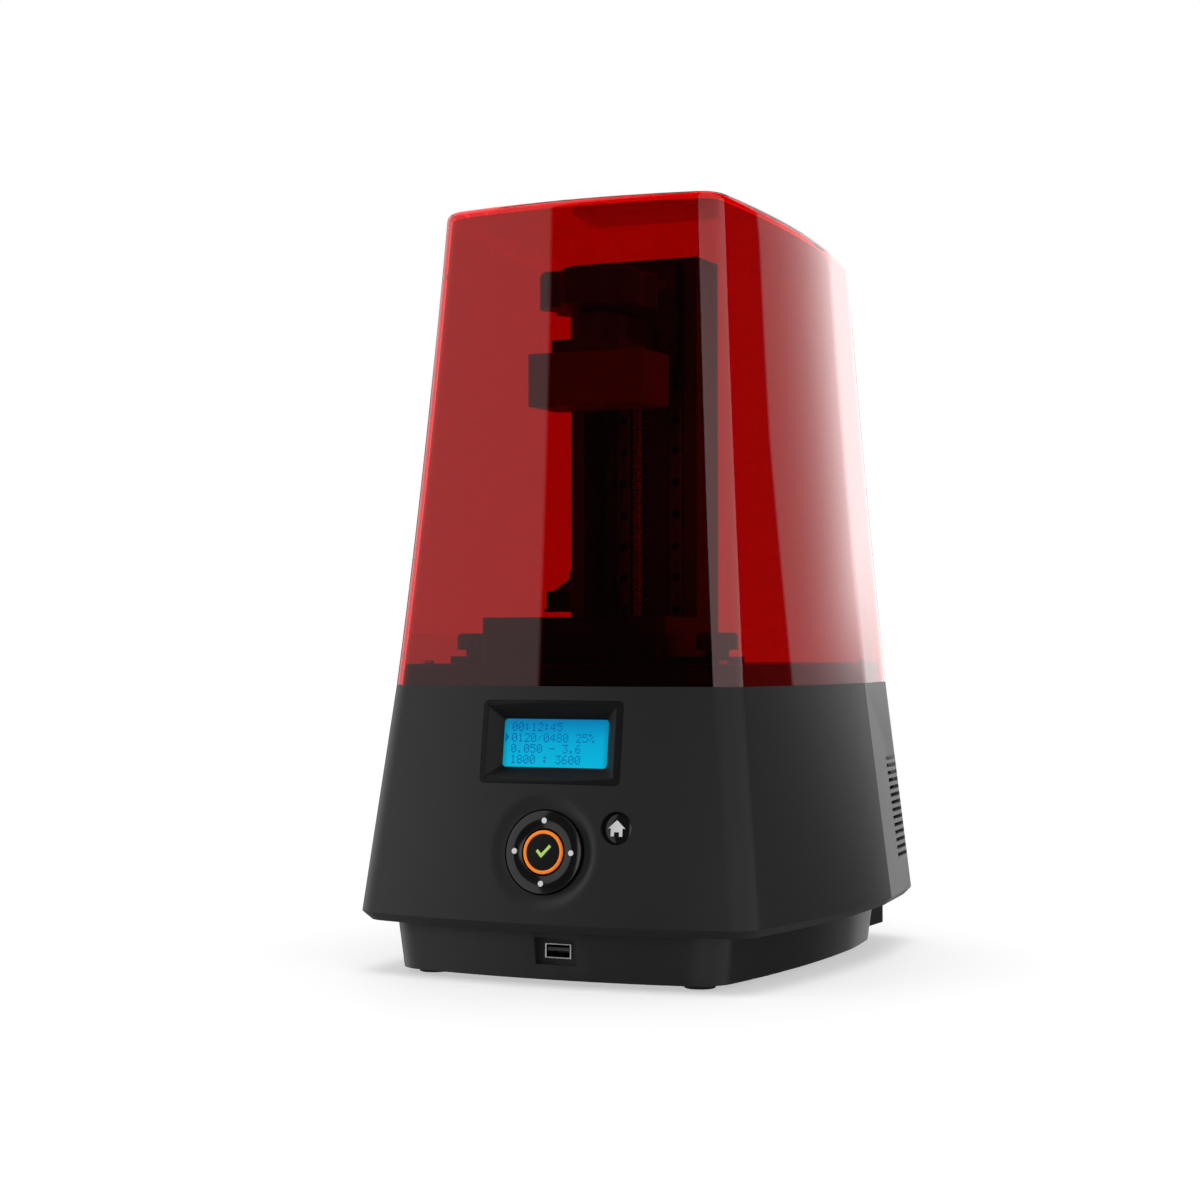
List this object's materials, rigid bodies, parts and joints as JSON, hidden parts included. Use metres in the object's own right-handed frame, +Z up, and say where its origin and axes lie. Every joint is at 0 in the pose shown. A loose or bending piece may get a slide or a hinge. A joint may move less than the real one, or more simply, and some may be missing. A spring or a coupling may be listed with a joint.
{
  "type": "resin printer",
  "caption": "Desktop resin printer with a clear tinted lift-off hood over a screw-driven platform and resin tank, on a flared housing with display, keypad and socket.",
  "frame": {"origin": "on the floor under the middle of the housing", "axes": "+X to the right seen from the front, the front faces -Y, +Z up"},
  "size_m": [0.28, 0.337, 0.4588],
  "materials": {
    "shell_black": "fine moulded texture",
    "rear_grey": "spark-eroded texture",
    "deck_black": "satin",
    "gloss_black": "polished",
    "hood_red": "clear tinted",
    "screen_blue": "lit display cell",
    "ring_orange": "lit ring",
    "rubber_black": "matt",
    "anodised_black": "anodised",
    "bright_steel": "ground",
    "dark_steel": "black oxide",
    "sheet_aluminium": "plain sheet",
    "nut_brass": "turned",
    "board_green": "solder mask",
    "window_glass": "clear"
  },
  "bodies": {
    "base": {"base_plinth": "shell_black", "skirt_plate": "shell_black", "front_shell": "shell_black", "rear_cover": "rear_grey", "top_deck": "deck_black", "resin_tank": "deck_black", "limit_switch": "deck_black", "power_inlet": "deck_black", "power_switch": "deck_black", "fan_frame": "deck_black", "usb_tongue": "deck_black", "display_bezel": "deck_black", "display_screen": "screen_blue", "rubber_feet": "rubber_black", "z_column": "anodised_black", "column_cap": "anodised_black", "light_engine": "anodised_black", "projection_lens": "anodised_black", "limit_bracket": "anodised_black", "z_motor": "anodised_black", "deck_screws": "bright_steel", "cover_screws": "bright_steel", "board_standoffs": "bright_steel", "usb_port": "bright_steel", "linear_rails": "dark_steel", "rail_screws": "dark_steel", "engine_brackets": "sheet_aluminium", "power_supply": "sheet_aluminium", "display_module": "sheet_aluminium", "display_board": "board_green", "keypad_board": "board_green", "usb_board": "board_green", "mainboard": "board_green", "deck_window": "window_glass", "tank_film": "window_glass"},
    "hood": {"hood": "hood_red"},
    "carriage": {"carriage": "anodised_black", "rail_blocks": "dark_steel", "screw_nut": "nut_brass", "carriage_screws": "dark_steel", "build_platform": "anodised_black", "platform_clamp": "anodised_black", "platform_arm": "anodised_black", "platform_stud": "bright_steel"},
    "platform_knob": {"platform_knob": "deck_black"},
    "tank_knob_left": {"tank_knob_left": "deck_black"},
    "tank_knob_right": {"tank_knob_right": "deck_black"},
    "lead_screw": {"lead_screw": "dark_steel", "shaft_coupling": "dark_steel", "motor_shaft": "bright_steel"},
    "dpad_carrier": {"dpad_carrier": "deck_black"},
    "dpad_ring": {"dpad_ring": "gloss_black"},
    "ok_button": {"ok_button": "gloss_black", "ok_light_ring": "ring_orange"},
    "home_button": {"home_button": "gloss_black"},
    "fan_rotor": {"fan_rotor": "deck_black"},
    "switch_rocker": {"switch_rocker": "deck_black"}
  },
  "joints": [
    {"name": "hood_lift", "type": "slide", "parent": "base", "child": "hood", "axis": [0, 0, 1], "range_m": [0, 0.3]},
    {"name": "carriage_travel", "type": "slide", "parent": "base", "child": "carriage", "axis": [0, 0, 1], "range_m": [-0.152, 0]},
    {"name": "lead_screw_spin", "type": "hinge", "parent": "base", "child": "lead_screw", "pos_m": [0, -0.022, 0.2], "axis": [0, 0, 1], "range_deg": [-13690, 10]},
    {"name": "platform_knob_turn", "type": "hinge", "parent": "carriage", "child": "platform_knob", "pos_m": [0, -0.0805, 0.4], "axis": [0, 0, 1], "range_deg": [0, 720]},
    {"name": "tank_knob_left_turn", "type": "hinge", "parent": "base", "child": "tank_knob_left", "pos_m": [-0.0795, -0.086, 0.19], "axis": [0, 0, 1], "range_deg": [0, 720]},
    {"name": "tank_knob_right_turn", "type": "hinge", "parent": "base", "child": "tank_knob_right", "pos_m": [0.0795, -0.086, 0.19], "axis": [0, 0, 1], "range_deg": [0, 720]},
    {"name": "dpad_left_right", "type": "hinge", "parent": "base", "child": "dpad_carrier", "pos_m": [0.003, -0.15222, 0.07518], "axis": [0, 0.1336, 0.991], "range_deg": [-2.5, 2.5], "stiffness_Nm_per_rad": 0.4},
    {"name": "dpad_up_down", "type": "hinge", "parent": "dpad_carrier", "child": "dpad_ring", "pos_m": [0.003, -0.15559, 0.07563], "axis": [1, 0, 0], "range_deg": [-2.5, 2.5], "stiffness_Nm_per_rad": 0.4},
    {"name": "ok_press", "type": "slide", "parent": "base", "child": "ok_button", "axis": [0, 0.991, -0.1336], "range_m": [0, 0.001], "stiffness_N_per_m": 400},
    {"name": "home_press", "type": "slide", "parent": "base", "child": "home_button", "axis": [0, 0.991, -0.1336], "range_m": [0, 0.001], "stiffness_N_per_m": 400},
    {"name": "fan_spin", "type": "hinge", "parent": "base", "child": "fan_rotor", "pos_m": [-0.026, 0.155, 0.091], "axis": [0, 1, 0], "continuous": true},
    {"name": "power_rocker", "type": "hinge", "parent": "base", "child": "switch_rocker", "pos_m": [0.062, 0.1633, 0.064], "axis": [1, 0, 0], "range_deg": [0, 16]}
  ],
  "couplings": [
    {"joint": "lead_screw_spin", "follows": "carriage_travel", "rad_per_m": 1570.8}
  ]
}
